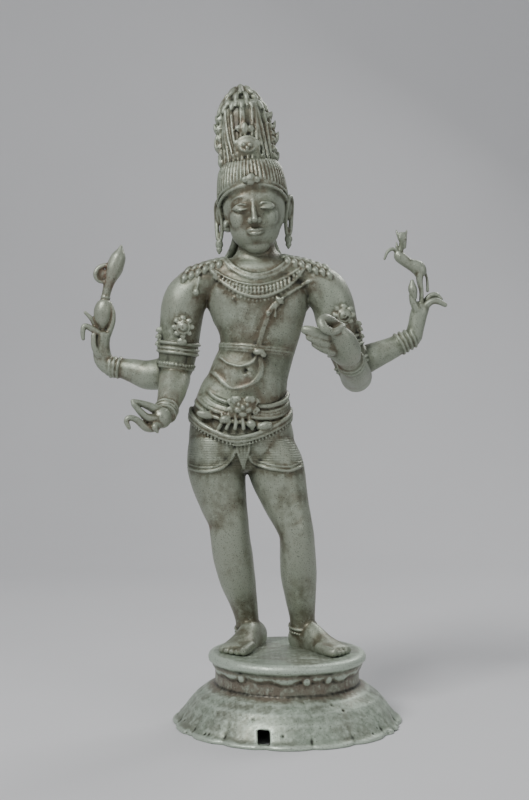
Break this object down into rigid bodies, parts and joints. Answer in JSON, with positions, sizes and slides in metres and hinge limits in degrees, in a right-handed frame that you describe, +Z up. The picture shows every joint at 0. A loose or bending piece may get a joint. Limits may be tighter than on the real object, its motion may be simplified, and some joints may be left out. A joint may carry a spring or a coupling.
{
  "type": "shiva figure",
  "caption": "Bronze standing deity with raised axe and antelope and a tall crown of hair, on a round hollow lotus pedestal, for display on a flat surface.",
  "frame": {"origin": "middle of the underside of the bounding box, on the plane that the pedestal stands on", "axes": "+Z up, -Y towards the viewer, +X to the viewer's right"},
  "size_m": [0.4092, 0.252, 0.7042],
  "materials": {
    "bronze": "green-grey patina over dark bronze, satin",
    "pale_bronze": "pale green patina with brown wear, matt"
  },
  "bodies": {
    "root": {"figure": "bronze", "pedestal": "pale_bronze"}
  },
  "joints": []
}
